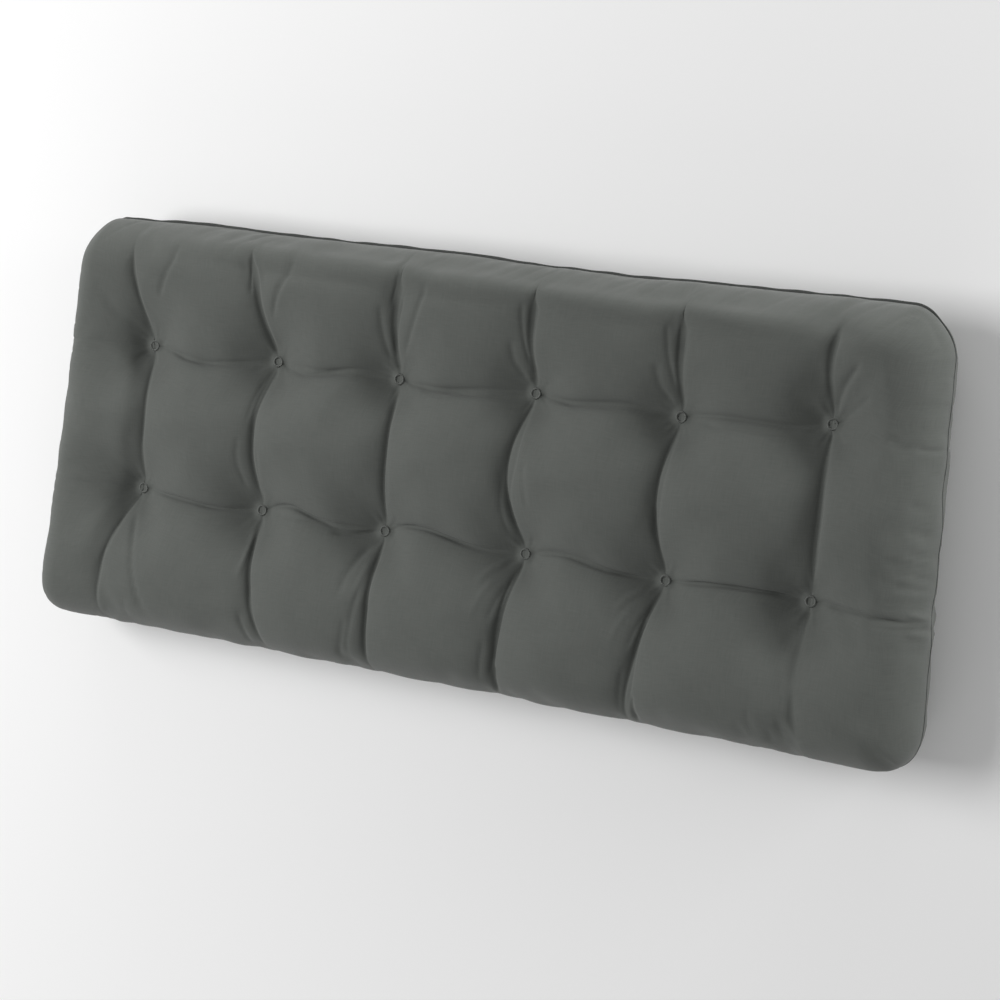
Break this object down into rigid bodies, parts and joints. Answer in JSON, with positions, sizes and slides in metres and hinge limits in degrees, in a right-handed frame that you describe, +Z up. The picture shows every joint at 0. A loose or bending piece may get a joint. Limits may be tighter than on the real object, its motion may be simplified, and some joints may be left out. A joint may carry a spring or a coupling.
{
  "type": "bench cushion",
  "caption": "Tufted bench cushion: a soft rectangular body with rounded corners, tufted through in rows so that it swells into plump square puffs, and sewn round its rim.",
  "frame": {"origin": "middle of the underside, on the surface that the cushion lies on", "axes": "+X along the bench, +Y towards the long edge that is at the top in the picture, +Z up out of the tufted face"},
  "size_m": [1.1358, 0.483, 0.118],
  "materials": {
    "cloth": "matte charcoal plain weave",
    "thread": "charcoal sewing thread with a slight sheen"
  },
  "bodies": {
    "root": {"cushion_body": "cloth", "tack_low_1": "thread", "tack_low_2": "thread", "tack_low_3": "thread", "tack_low_4": "thread", "tack_low_5": "thread", "tack_low_6": "thread", "tack_high_1": "thread", "tack_high_2": "thread", "tack_high_3": "thread", "tack_high_4": "thread", "tack_high_5": "thread", "tack_high_6": "thread"}
  },
  "joints": []
}
